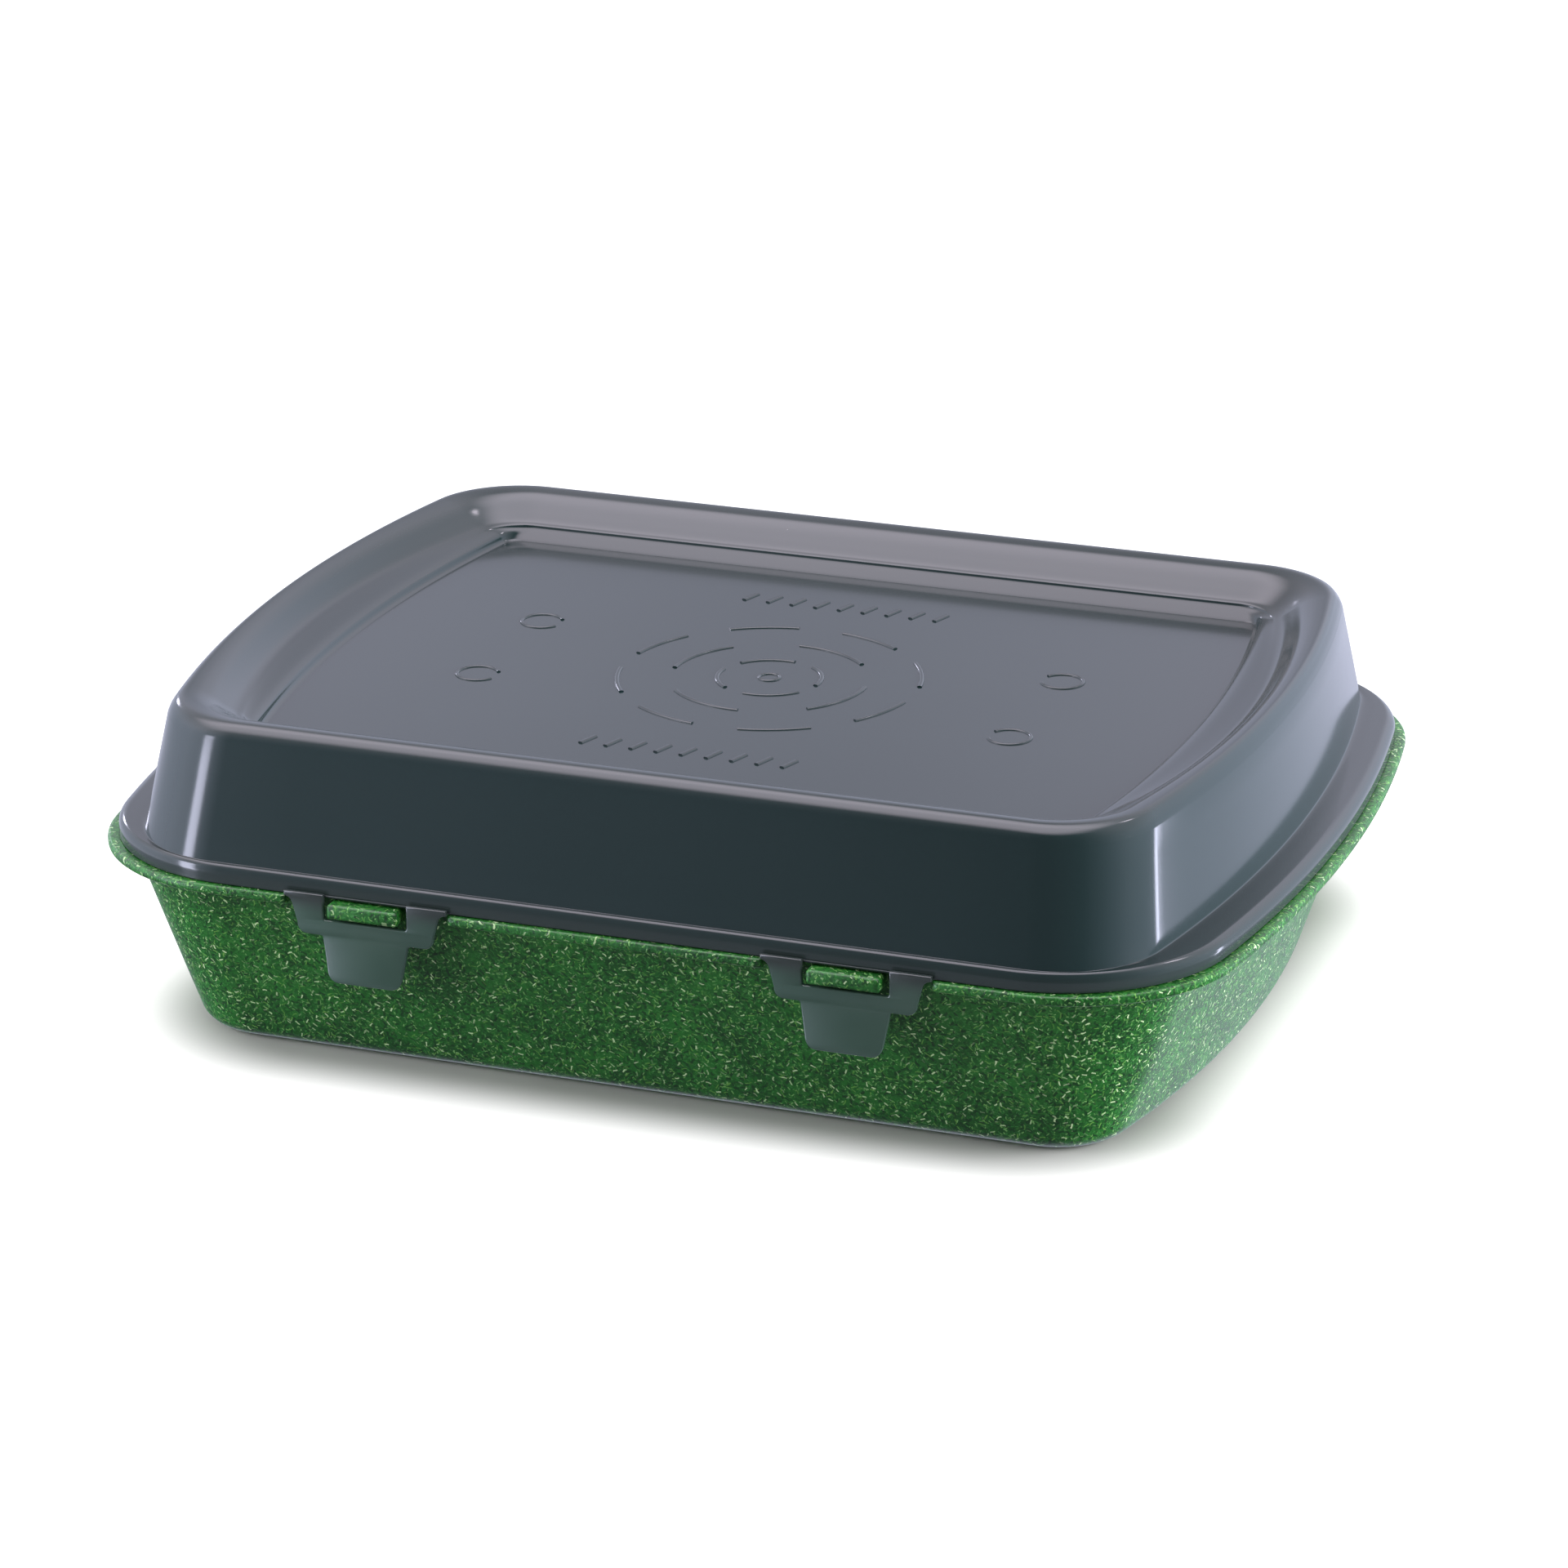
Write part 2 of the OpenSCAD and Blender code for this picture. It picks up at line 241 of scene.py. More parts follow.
class Finish:
    """A node material with one Principled shader, built up node by node."""

    def __init__(self, name, **constants):
        self.material = bpy.data.materials.new(name)
        self.material.use_nodes = True
        self.tree = self.material.node_tree
        self.tree.nodes.clear()
        self.shader = self.node("BsdfPrincipled")
        self.tree.links.new(self.shader.outputs[0], self.node("OutputMaterial").inputs[0])
        for socket, value in constants.items():
            self.shader.inputs[socket.replace("_", " ")].default_value = value
        self.place = self.node("TexCoord").outputs["Object"]

    def node(self, kind, settings=None, **sockets):
        """One node: its settings first, then the values or links of its sockets."""
        node = self.tree.nodes.new("ShaderNode" + kind)
        for key, value in (settings or {}).items():
            if key == "stops":
                ramp = node.color_ramp
                while len(ramp.elements) < len(value):
                    ramp.elements.new(0.5)
                for element, (position, colour) in zip(ramp.elements, value):
                    element.position, element.color = position, (*colour, 1)
            else:
                setattr(node, key, value)
        for key, value in sockets.items():
            self.feed(node.inputs[int(key) if key.isdigit() else key.replace("_", " ")], value)
        return node

    def feed(self, socket, value):
        if isinstance(value, Number):
            value = value.socket
        if isinstance(value, bpy.types.NodeSocket):
            self.tree.links.new(value, socket)
        else:
            socket.default_value = value

    def vector(self, operation, *values):
        """Vector maths. A result that is one number comes back as a Number."""
        node = self.node("VectorMath", dict(operation=operation))
        for slot, value in zip(node.inputs, values):
            self.feed(slot, value)
        if operation in ("DOT_PRODUCT", "LENGTH"):
            return Number(self, node.outputs["Value"])
        return node.outputs["Vector"]

    def scaled(self, vector, factor):
        node = self.node("VectorMath", dict(operation="SCALE"))
        self.feed(node.inputs[0], vector)
        self.feed(node.inputs["Scale"], factor)
        return node.outputs["Vector"]

    def noise(self, scale, detail=2.0, roughness=0.5, seed=0.0):
        place = self.vector("ADD", self.place, (seed, seed * 1.7, -seed))
        node = self.node("TexNoise", None, Vector=place, Scale=scale, Detail=detail,
                         Roughness=roughness)
        return Number(self, node.outputs["Fac"])

    def mix(self, amount, first, second):
        """A colour between two colours, each four numbers or a socket."""
        node = self.node("Mix", dict(data_type="RGBA"))
        for slot, value in ((0, amount), (6, first), (7, second)):
            self.feed(node.inputs[slot], value)
        return node.outputs[2]

    def bumped(self, height, distance, strength=1.0, under=None):
        node = self.node("Bump", None, Height=height, Distance=distance, Strength=strength)
        if under is not None:
            self.feed(node.inputs["Normal"], under)
        return node.outputs["Normal"]


tray_finish = Finish("fibre_filled_plastic", Roughness=0.42, IOR=1.48)
surface_way = tray_finish.node("TexCoord").outputs["Normal"]
ripple = tray_finish.node("TexNoise", None, Vector=tray_finish.place, Scale=750.0, Detail=2.0)
ripple = tray_finish.vector("SUBTRACT", ripple.outputs["Color"], (0.5, 0.5, 0.5))
bent_place = tray_finish.vector("ADD", tray_finish.place, tray_finish.scaled(ripple, 0.0008))


def along_surface(vector):
    """The part of a direction that lies in the surface."""
    out_by = tray_finish.vector("DOT_PRODUCT", vector, surface_way)
    return tray_finish.vector("SUBTRACT", vector, tray_finish.scaled(surface_way, out_by))


def slivers(cell, length, width, seed):
    """Short straight fibres lying in the surface, one to a cell: a mask, and a random number."""
    spot = tray_finish.vector("ADD", bent_place, (seed, -seed, 2 * seed))
    spot = tray_finish.scaled(spot, 1 / cell)
    cells = tray_finish.node("TexVoronoi", dict(feature="F1"), Vector=spot, Scale=1.0,
                             Randomness=0.95)
    apart = along_surface(tray_finish.vector("SUBTRACT", spot, cells.outputs["Position"]))
    way = along_surface(tray_finish.vector("SUBTRACT", cells.outputs["Color"], (0.5, 0.5, 0.5)))
    way = tray_finish.vector("NORMALIZE", way)
    on = tray_finish.vector("DOT_PRODUCT", apart, way)
    off = tray_finish.vector("DOT_PRODUCT", apart, apart) - on * on
    off = off.math("MAXIMUM", 0.0).math("SQRT")
    chance = tray_finish.node("SeparateColor", None, Color=cells.outputs["Color"])
    pick = Number(tray_finish, chance.outputs["Red"]) * 7.31
    pick = (pick + Number(tray_finish, chance.outputs["Blue"]) * 3.17).math("FRACT")
    thin = off.between(width * 1.35, width * 0.65)
    short = on.math("ABSOLUTE").between(length * 1.06, length * 0.94)
    return thin * short, pick


tray_mottle = tray_finish.noise(95, 3, 0.6, seed=1.0)
tray_grain = tray_finish.noise(1300, 2, 0.6, seed=2.0)
green = tray_finish.mix((tray_mottle * 0.5 + tray_grain * 0.5).between(0.34, 0.66),
                        (0.005, 0.060, 0.008, 1), (0.018, 0.165, 0.020, 1))
fine, fine_pick = slivers(0.0008, 0.42, 0.14, 3.0)
green = tray_finish.mix(fine * fine_pick.between(0.2, 1.0) * 0.8, green, (0.055, 0.28, 0.055, 1))
dark, dark_pick = slivers(0.0014, 0.42, 0.17, 5.0)
green = tray_finish.mix(dark * dark_pick.between(0.2, 0.6) * 0.8, green, (0.003, 0.030, 0.006, 1))
small, small_pick = slivers(0.0009, 0.36, 0.12, 11.0)
green = tray_finish.mix(small * small_pick.between(0.55, 1.0) * 0.9, green, (0.24, 0.52, 0.17, 1))
olive, olive_pick = slivers(0.0015, 0.40, 0.075, 7.0)
green = tray_finish.mix(olive * olive_pick.between(0.4, 1.0) * 0.8, green, (0.16, 0.42, 0.075, 1))
pale, pale_pick = slivers(0.0019, 0.26, 0.07, 9.0)
green = tray_finish.mix(pale * pale_pick.between(0.45, 1.0), green, (0.62, 0.82, 0.48, 1))
tray_finish.feed(tray_finish.shader.inputs["Base Color"], green)
tray_finish.feed(tray_finish.shader.inputs["Roughness"], 0.32 + tray_grain * 0.12 - pale * 0.06)
fibre_height = fine * 0.4 + olive * 0.5 + pale * 0.7 + tray_grain * 0.5
tray_finish.feed(tray_finish.shader.inputs["Normal"],
                 tray_finish.bumped(fibre_height, 0.00006, 0.5))
tray_shell.data.materials.append(tray_finish.material)


# Lugs. Four short blocks moulded on the tray's wall in the cuts of the rim.
# Each comes through the window of a latch, which hooks under it.
LUG = dict(half_width=7.3, out=93.25, root=87.15, low=34.8, top=37.72, radius=0.75)


def rounded_block(name, low, high, radius, segments=5):
    """A block with rounded edges, as one mesh object. Sizes in millimetres."""
    mesh = bpy.data.meshes.new(name)
    block = bmesh.new()
    bmesh.ops.create_cube(block, size=1)
    for v in block.verts:
        v.co = Vector(((lo + hi) / 2 + c * (hi - lo)) for c, lo, hi in zip(v.co, low, high)) * MM
    bmesh.ops.bevel(block, geom=list(block.edges) + list(block.verts), offset=radius * MM,
                    segments=segments, profile=0.5, affect="EDGES")
    block.to_mesh(mesh)
    block.free()
    mesh.shade_smooth()
    piece = bpy.data.objects.new(name, mesh)
    scene.collection.objects.link(piece)
    return piece


class Tree:
    """A Geometry Nodes tree with named inputs."""

    def __init__(self, name, **inputs):
        self.tree = bpy.data.node_groups.new(name, "GeometryNodeTree")
        self.ids = {}
        for key, kind in inputs.items():
            socket = self.tree.interface.new_socket(key.replace("_", " "), in_out="INPUT",
                                                    socket_type="NodeSocket" + kind)
            self.ids[key] = socket.identifier
        self.tree.interface.new_socket("Geometry", in_out="OUTPUT",
                                       socket_type="NodeSocketGeometry")
        self.given = self.tree.nodes.new("NodeGroupInput")
        self.result = self.tree.nodes.new("NodeGroupOutput")

    def get(self, key):
        return self.given.outputs[key.replace("_", " ")]

    def node(self, kind, settings=None, **sockets):
        node = self.tree.nodes.new(kind)
        for key, value in (settings or {}).items():
            setattr(node, key, value)
        for key, value in sockets.items():
            numbered = key[0] == "i" and key[1:].isdigit()
            socket = node.inputs[int(key[1:]) if numbered else key.replace("_", " ")]
            if isinstance(value, bpy.types.NodeSocket):
                self.tree.links.new(value, socket)
            else:
                socket.default_value = value
        return node

    def math(self, operation, first, second):
        node = self.node("ShaderNodeMath", dict(operation=operation), i0=first, i1=second)
        return node.outputs[0]

    def end(self, instances):
        """Realize Instances and Set Material, then the tree's output."""
        real = self.node("GeometryNodeRealizeInstances", None, Geometry=instances)
        done = self.node("GeometryNodeSetMaterial", None, Geometry=real.outputs[0],
                         Material=self.get("Material"))
        self.tree.links.new(done.outputs[0], self.result.inputs[0])

    def made(self, name, **values):
        """The tree's result as a plain mesh object without the modifier."""
        holder = bpy.data.objects.new(name, bpy.data.meshes.new(name))
        scene.collection.objects.link(holder)
        modifier = holder.modifiers.new("tree", "NODES")
        modifier.node_group = self.tree
        for key, value in values.items():
            modifier[self.ids[key]] = value
        holder.update_tag()
        graph = bpy.context.evaluated_depsgraph_get()
        mesh = bpy.data.meshes.new_from_object(holder.evaluated_get(graph), depsgraph=graph)
        holder.modifiers.clear()
        holder.data = mesh
        mesh.name = name
        return holder


def four_copies_tree():
    """A shape of the front left, and its copies at the other three places."""
    tree = Tree("four_copies", Shape="Object", Spacing="Float", Material="Material")
    shape = tree.node("GeometryNodeObjectInfo", dict(transform_space="ORIGINAL"),
                      Object=tree.get("Shape"))
    half = tree.math("MULTIPLY", tree.get("Spacing"), 0.5)
    less = tree.math("MULTIPLY", half, -1.0)
    join = tree.node("GeometryNodeJoinGeometry")
    for along, turn in ((less, 0.0), (half, 0.0), (less, math.pi), (half, math.pi)):
        place = tree.node("ShaderNodeCombineXYZ", None, X=along)
        copy = tree.node("GeometryNodeTransform", None, Geometry=shape.outputs["Geometry"],
                         Translation=place.outputs[0])
        turned = tree.node("GeometryNodeTransform", None, Geometry=copy.outputs[0],
                           Rotation=(0, 0, turn))
        tree.tree.links.new(turned.outputs[0], join.inputs[0])
    tree.end(join.outputs[0])
    return tree


four_copies = four_copies_tree()
one_lug = rounded_block("one_lug", (-LUG["half_width"], -LUG["out"], LUG["low"]),
                        (LUG["half_width"], -LUG["root"], LUG["top"]), LUG["radius"])
lugs = four_copies.made("lugs", Shape=one_lug, Spacing=2 * LATCH_X * MM,
                        Material=tray_finish.material)
bpy.data.objects.remove(one_lug)
for piece in (tray_shell, lugs):
    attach(piece, "tray_body")
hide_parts("tray")


# Lid. One thin moulding of smoky grey plastic with a satin skin: a short upright skirt, a flat
# shelf, a sloped wall, a rounded ridge, a slope down to a narrow step, and a sunk panel.
EDGE = (118.0, 90.3)
EDGE_Z = 38.0
FLANGE_Z = EDGE_Z + 3.7
RIDGE_Z = 66.8
PANEL_Z = 59.0
WALL_RISE = RIDGE_Z - 3.2 - (FLANGE_Z + 1.1)
TOP_S = 7.8 + WALL_RISE * math.tan(math.radians(8.5))
TOP_F = 1.9 + WALL_RISE * math.tan(math.radians(18))
LID_WALL = 1.3
LEAST_LID_CORNER = 2.4
STEPS_BETWEEN = 5
# From the edge to the panel: in at the short ends, in at the long edges, bow, corner radius,
# height, and the way to the inner skin at the ends, at the long edges and downwards.
LID_STATIONS = (
    (0, 0, 10.6, 34, EDGE_Z, 0.9, 0.9, 0),
    (0, 0, 10.6, 34, EDGE_Z + 1.9, 1, 1, 0.1),
    (0.2, 0.1, 10.6, 33.8, EDGE_Z + 2.7, 0.9, 1, 0.45),
    (0.9, 0.35, 10.6, 33.0, EDGE_Z + 3.4, 0.5, 0.9, 0.85),
    (2.0, 0.75, 10.6, 31.4, EDGE_Z + 3.72, 0.15, 0.9, 1),
    (4.2, 1.05, 10.7, 28.0, EDGE_Z + 3.72, 0, 0.9, 1),
    (6.6, 1.3, 10.9, 23.6, EDGE_Z + 3.7, 0, 0.9, 1),
    (7.5, 1.52, 11.0, 21.4, FLANGE_Z + 0.05, 0.5, 0.9, 0.9),
    (7.66, 1.61, 11.0, 21.1, FLANGE_Z + 0.25, 1, 1, 0.2),
    (TOP_S, TOP_F, 10.4, 20, RIDGE_Z - 3.2, 0.9, 0.95, 0.35),
    (TOP_S + 0.5, TOP_F + 0.38, 10.35, 19.9, RIDGE_Z - 2.0, 0.75, 0.85, 0.6),
    (TOP_S + 1.0, TOP_F + 0.9, 10.3, 19.7, RIDGE_Z - 1.15, 0.6, 0.7, 0.75),
    (TOP_S + 1.5, TOP_F + 1.75, 10.3, 19.5, RIDGE_Z - 0.4, 0.4, 0.5, 0.9),
    (TOP_S + 2.2, TOP_F + 3.2, 10.4, 19.0, RIDGE_Z, 0, 0.1, 1),
    (TOP_S + 3.7, TOP_F + 5.6, 10.8, 17.8, RIDGE_Z - 0.35, -0.35, -0.2, 0.95),
    (TOP_S + 5.4, TOP_F + 8.0, 11.5, 15.8, RIDGE_Z - 1.3, -0.7, -0.45, 0.85),
    (TOP_S + 7.1, TOP_F + 11.2, 12.1, 13.0, RIDGE_Z - 3.2, -0.8, -0.5, 0.8),
    (TOP_S + 8.4, TOP_F + 13.4, 12.5, 11.4, RIDGE_Z - 4.55, -0.7, -0.45, 0.85),
    (TOP_S + 9.3, TOP_F + 14.6, 12.5, 10.5, RIDGE_Z - 5.0, -0.3, -0.45, 0.95),
    (TOP_S + 11.2, TOP_F + 14.75, 11.1, 9.1, RIDGE_Z - 5.35, -0.15, -0.6, 0.95),
    (TOP_S + 16.8, TOP_F + 15.9, 7.0, 5, PANEL_Z + 1.4, -0.3, -0.65, 0.9),
    (TOP_S + 17.6, TOP_F + 17.05, 6.5, 3.6, PANEL_Z + 0.35, -0.4, -0.6, 0.9),
    (TOP_S + 18.4, TOP_F + 17.35, 6.3, 3, PANEL_Z, 0, 0, 1),
)


def smooth_stations(stations, steps):
    """More stations on a curve through the given ones that never swings past them."""
    run = [0.0]
    for a, b in zip(stations, stations[1:]):
        run.append(run[-1] + math.hypot((b[0] - a[0] + b[1] - a[1]) / 2, b[4] - a[4]) + 0.05)
    gaps = [b - a for a, b in zip(run, run[1:])]
    columns = []
    for column in zip(*stations):
        rises = [(b - a) / g for a, b, g in zip(column, column[1:], gaps)]
        slopes = [rises[0]]
        for r0, r1, g0, g1 in zip(rises, rises[1:], gaps, gaps[1:]):
            w0, w1 = 2 * g1 + g0, g1 + 2 * g0
            slopes.append(0.0 if r0 * r1 <= 0 else (w0 + w1) / (w0 / r0 + w1 / r1))
        slopes.append(rises[-1])
        fine_column = []
        for i, gap in enumerate(gaps):
            for step in range(steps):
                t = step / steps
                fine_column.append(
                    column[i] * (1 + 2 * t) * (1 - t) ** 2
                    + slopes[i] * gap * t * (1 - t) ** 2
                    + column[i + 1] * t * t * (3 - 2 * t)
                    + slopes[i + 1] * gap * t * t * (t - 1))
        fine_column.append(column[-1])
        columns.append(fine_column)
    return list(zip(*columns))


def lid_ring(station, skin):
    in_s, in_f, bow, corner, z, to_s, to_f, down = station
    k = skin * LID_WALL
    half_x, half_y = EDGE[0] - in_s - k * to_s, EDGE[1] - in_f - k * to_f
    corner = max(corner - k * to_s, LEAST_LID_CORNER)
    quarter = [(x, y, z - k * down) for x, y in bowed_quarter(half_x, half_y, bow, corner)]
    last = quarter[-1][0]
    edge = [(last * share, half_y, z - k * down) for share in (0.8, 0.6, 0.4, 0.2, 0)]
    return whole_ring(quarter + edge)


# The curve breaks at the foot and the top of the wall, so that both stay crisp.
WALL_FOOT, WALL_TOP = 8, 9
lid_stations = (smooth_stations(LID_STATIONS[:WALL_FOOT + 1], STEPS_BETWEEN)[:-1]
                + smooth_stations(LID_STATIONS[WALL_FOOT:WALL_TOP + 1], STEPS_BETWEEN)[:-1]
                + smooth_stations(LID_STATIONS[WALL_TOP:], STEPS_BETWEEN))
flat_in = lid_stations[-1]
lid_stations.append((flat_in[0] + 2, flat_in[1] + 2, *flat_in[2:]))
lid_shell = skin_mesh("lid_shell", [lid_ring(s, 1) for s in reversed(lid_stations)]
                      + [lid_ring(s, 0) for s in lid_stations], sharp_angle=17)

lid_finish = Finish("smoky_satin_plastic", Roughness=0.3, IOR=1.5)
x, y, z = (Number(lid_finish, out) for out in
           lid_finish.node("SeparateXYZ", None, Vector=lid_finish.place).outputs)
lid_cloud = lid_finish.noise(9, 2, 0.5, seed=1.0)
lid_grain = lid_finish.noise(1400, 2, 0.5, seed=2.0)
smoke_and_painted_green = lid_finish.mix(lid_cloud.between(0.3, 0.7),
                       (0.013, 0.029, 0.031, 1), (0.016, 0.033, 0.036, 1))
# Lighter and greener on the skirt and shelf below the wall: a painted stand-in for the green tray
# showing through the thin lid.
smoke_and_painted_green = lid_finish.mix(z.between(0.0425, 0.0385) * 0.55, smoke_and_painted_green, (0.040, 0.052, 0.050, 1))
dust = lid_finish.node("TexVoronoi", dict(feature="F1"), Vector=lid_finish.place, Scale=95.0,
                       Randomness=1.0)
dust_pick = lid_finish.node("SeparateColor", None, Color=dust.outputs["Color"])
dust_pick = Number(lid_finish, dust_pick.outputs["Green"])
specks = Number(lid_finish, dust.outputs["Distance"]).between(0.028, 0.018)
specks = specks * dust_pick.between(0.90, 0.92)
smoke_and_painted_green = lid_finish.mix(specks * 0.6, smoke_and_painted_green, (0.32, 0.35, 0.36, 1))
lid_finish.feed(lid_finish.shader.inputs["Base Color"], smoke_and_painted_green)
lid_finish.feed(lid_finish.shader.inputs["Roughness"], 0.11 + lid_grain * 0.02 + lid_cloud * 0.02)
lid_relief = lid_finish.bumped(lid_grain, 0.00002, 0.12)
lid_relief = lid_finish.bumped(lid_finish.noise(28, 1, 0.4, seed=3.0), 0.0002, 0.15, under=lid_relief)
lid_finish.feed(lid_finish.shader.inputs["Normal"], lid_relief)
lid_shell.data.materials.append(lid_finish.material)
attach(lid_shell, "lid_body")
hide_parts("lid")


# Panel relief. Low rounded ribs moulded on the sunk panel: broken rings round the gate mark,
# plain bars along the two long edges and a small open ring near each corner.
def rounded_rib(tree, curve):
    """A rib with a rounded section along a curve."""
    section = tree.node("GeometryNodeCurvePrimitiveQuadrilateral", dict(mode="RECTANGLE"),
                        Width=tree.get("Rib_width"), Height=tree.get("Rib_height"))
    rounded = tree.node("GeometryNodeFilletCurve", dict(mode="POLY"), Curve=section.outputs[0],
                        Count=4, Radius=tree.math("MULTIPLY", tree.get("Rib_height"), 0.45))
    return tree.node("GeometryNodeCurveToMesh", None, Curve=curve.outputs[0],
                     Profile_Curve=rounded.outputs[0], Fill_Caps=True)


def end_with_copies(tree, rib, spots, turn):
    """A turned copy of the rib at each spot, round the tree's centre. Ends the tree."""
    rotation = tree.node("ShaderNodeCombineXYZ", None, Z=turn)
    copies = tree.node("GeometryNodeInstanceOnPoints", None, Points=spots.outputs[0],
                       Instance=rib.outputs[0], Rotation=rotation.outputs[0])
    placed = tree.node("GeometryNodeTransform", None, Geometry=copies.outputs[0],
                       Translation=tree.get("Centre"))
    tree.end(placed.outputs[0])


def broken_ring_tree():
    tree = Tree("broken_ring", Radius="Float", Pieces="Int", Sweep="Float", Turn="Float",
                Centre="Vector", Rib_width="Float", Rib_height="Float", Material="Material")
    sweep = tree.get("Sweep")
    arc = tree.node("GeometryNodeCurveArc", dict(mode="RADIUS"), Resolution=40,
                    Radius=tree.get("Radius"), Start_Angle=tree.math("MULTIPLY", sweep, -0.5),
                    Sweep_Angle=sweep)
    spots = tree.node("GeometryNodePoints", None, Count=tree.get("Pieces"))
    index = tree.node("GeometryNodeInputIndex").outputs[0]
    share = tree.math("DIVIDE", index, tree.get("Pieces"))
    angle = tree.math("ADD", tree.math("MULTIPLY", share, 2 * math.pi), tree.get("Turn"))
    end_with_copies(tree, rounded_rib(tree, arc), spots, angle)
    return tree


def bar_row_tree():
    tree = Tree("bar_row", Count="Int", Pitch="Float", Length="Float", Lean="Float",
                Centre="Vector", Rib_width="Float", Rib_height="Float", Material="Material")
    halves = [tree.math("MULTIPLY", tree.get("Length"), part) for part in (-0.5, 0.5)]
    ends = [tree.node("ShaderNodeCombineXYZ", None, Y=half) for half in halves]
    bar = tree.node("GeometryNodeCurvePrimitiveLine", dict(mode="POINTS"),
                    Start=ends[0].outputs[0], End=ends[1].outputs[0])
    middle = tree.math("MULTIPLY", tree.math("SUBTRACT", tree.get("Count"), 1.0), 0.5)
    step = tree.math("SUBTRACT", tree.node("GeometryNodeInputIndex").outputs[0], middle)
    spot = tree.node("ShaderNodeCombineXYZ", None, X=tree.math("MULTIPLY", step, tree.get("Pitch")))
    spots = tree.node("GeometryNodePoints", None, Count=tree.get("Count"),
                      Position=spot.outputs[0])
    end_with_copies(tree, rounded_rib(tree, bar), spots, tree.get("Lean"))
    return tree


broken_ring, bar_row = broken_ring_tree(), bar_row_tree()
RIB_HEIGHT = 0.9
RELIEF_SUNK = 0.15
relief = []


def relief_ring(name, radius, pieces, sweep, turn, centre=(0, 0), width=1.1):
    """A ring of equal ribs. Sizes in millimetres, angles in degrees."""
    relief.append(broken_ring.made(
        name, Radius=radius * MM, Pieces=pieces, Sweep=math.radians(sweep), Turn=math.radians(turn),
        Centre=(centre[0] * MM, centre[1] * MM, (PANEL_Z - RELIEF_SUNK) * MM),
        Rib_width=width * MM, Rib_height=RIB_HEIGHT * MM, Material=lid_finish.material))


relief_ring("gate_mark", 2.1, 1, 359.9, 0, width=0.8)
relief_ring("inner_broken_ring", 10.5, 4, 62, 22)
relief_ring("middle_broken_ring", 20.0, 4, 50, 67)
relief_ring("outer_broken_ring", 30.5, 8, 27, 22)
for number, (cx, cy) in enumerate(((-56, -17), (-56, 17), (56, -17), (56, 17))):
    relief_ring(f"corner_open_ring_{number + 1}", 4.2, 1, 300, 0 if cx > 0 else 180, (cx, cy),
                width=0.9)
for number, cy in enumerate((-45.5, 45.5)):
    relief.append(bar_row.made(
        f"bar_row_{number + 1}", Count=9, Pitch=5.2 * MM, Length=4.6 * MM,
        Lean=math.radians(-18), Centre=(0, cy * MM, (PANEL_Z - RELIEF_SUNK) * MM),
        Rib_width=1.2 * MM, Rib_height=RIB_HEIGHT * MM, Material=lid_finish.material))
for piece in relief:
    piece.data.shade_smooth()
    piece.data.set_sharp_from_angle(angle=math.radians(50))
    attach(piece, "lid_body")


# Latches. Four thin flaps moulded with the lid, each with a window for its lug and a grip
# that leans out a little at its tip. They swing on a thin bending strip at the lid's edge.
HINGE_Y = 91.15
HINGE_Z = 38.4
FLAP_THICK = 1.2
STRAP_HALF, STRAP_LOW_HALF = 14.9, 14.1
WINDOW_HALF, WINDOW_LOW = 8.6, 33.9
SHOULDER_Z, TIP_Z = 30.7, 21.7
GRIP_HALF, GRIP_LOW_HALF = 8.8, 7.7
LEAN_START_Z, TIP_LEAN = SHOULDER_Z + 1.5, 1.15
FLAP_BANDS = 24
EAR_HALF, EAR_DEEP, EAR_ROUND = STRAP_HALF + 1.9, 1.0, 1.75
SHOULDER_ROUND, TIP_ROUND, SMALL_ROUND = 1.9, 2.3, 0.5


def arc_points(cx, cz, radius, start, end, steps=8):
    angles = [math.radians(start + (end - start) * i / steps) for i in range(steps + 1)]
    return [(cx + radius * math.cos(a), cz + radius * math.sin(a)) for a in angles]


def flap_outline():
    """The flap seen from the front, anticlockwise from the top of the right leg."""
    top = HINGE_Z + 0.55
    right = [(WINDOW_HALF, WINDOW_LOW + SMALL_ROUND), (WINDOW_HALF, top), (EAR_HALF, top),
             (EAR_HALF, top - EAR_DEEP)]
    right += [(EAR_HALF - EAR_ROUND * math.sin(math.radians(a)),
               top - EAR_DEEP - EAR_ROUND + EAR_ROUND * math.cos(math.radians(a)))
              for a in (12, 30, 50, 70)]
    right += arc_points(STRAP_LOW_HALF - SHOULDER_ROUND, SHOULDER_Z + SHOULDER_ROUND,
                        SHOULDER_ROUND, 5, -90)
    right += arc_points(GRIP_HALF + SMALL_ROUND, SHOULDER_Z - SMALL_ROUND, SMALL_ROUND, 90, 180, 4)
    right += arc_points(GRIP_LOW_HALF - TIP_ROUND, TIP_Z + TIP_ROUND, TIP_ROUND, -8, -90)
    left = [(-x, z) for x, z in reversed(right)]
    window_z = WINDOW_LOW + SMALL_ROUND
    window = arc_points(-WINDOW_HALF + SMALL_ROUND, window_z, SMALL_ROUND, 180, 270, 4)
    window += arc_points(WINDOW_HALF - SMALL_ROUND, window_z, SMALL_ROUND, 270, 360, 4)[:-1]
    return list(reversed(right + left + window[1:]))


def flap_lean(z):
    """How far the flap stands out at a height: straight at the strap, outwards down the grip."""
    drop = max(0.0, min(1.0, (LEAN_START_Z - z) / (LEAN_START_Z - TIP_Z)))
    return TIP_LEAN * drop ** 1.6


